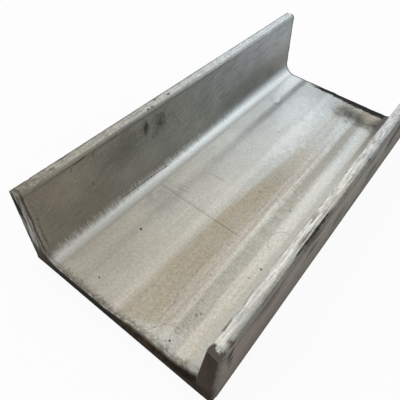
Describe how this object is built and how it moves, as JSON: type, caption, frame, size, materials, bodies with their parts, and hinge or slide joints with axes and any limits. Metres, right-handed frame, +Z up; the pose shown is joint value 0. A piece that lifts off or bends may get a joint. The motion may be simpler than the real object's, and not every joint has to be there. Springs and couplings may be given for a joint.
{
  "type": "taper-flange steel channel section",
  "caption": "Short sawn length of hot-rolled channel: a flat web between two upright tapered flanges with filleted roots, used as framing and bracket stock.",
  "frame": {"origin": "on the floor under the middle of the web's back, at half the length", "axes": "+X across the web towards the right flange, +Y along the length towards the far end, +Z up out of the channel's open side"},
  "size_m": [0.12, 0.25, 0.055],
  "materials": {
    "pickled_steel": "hot-rolled and pickled, dull grey-white with brownish rolling bands, scratched toes and dark sawn ends"
  },
  "bodies": {
    "root": {"channel": "pickled_steel"}
  },
  "joints": []
}
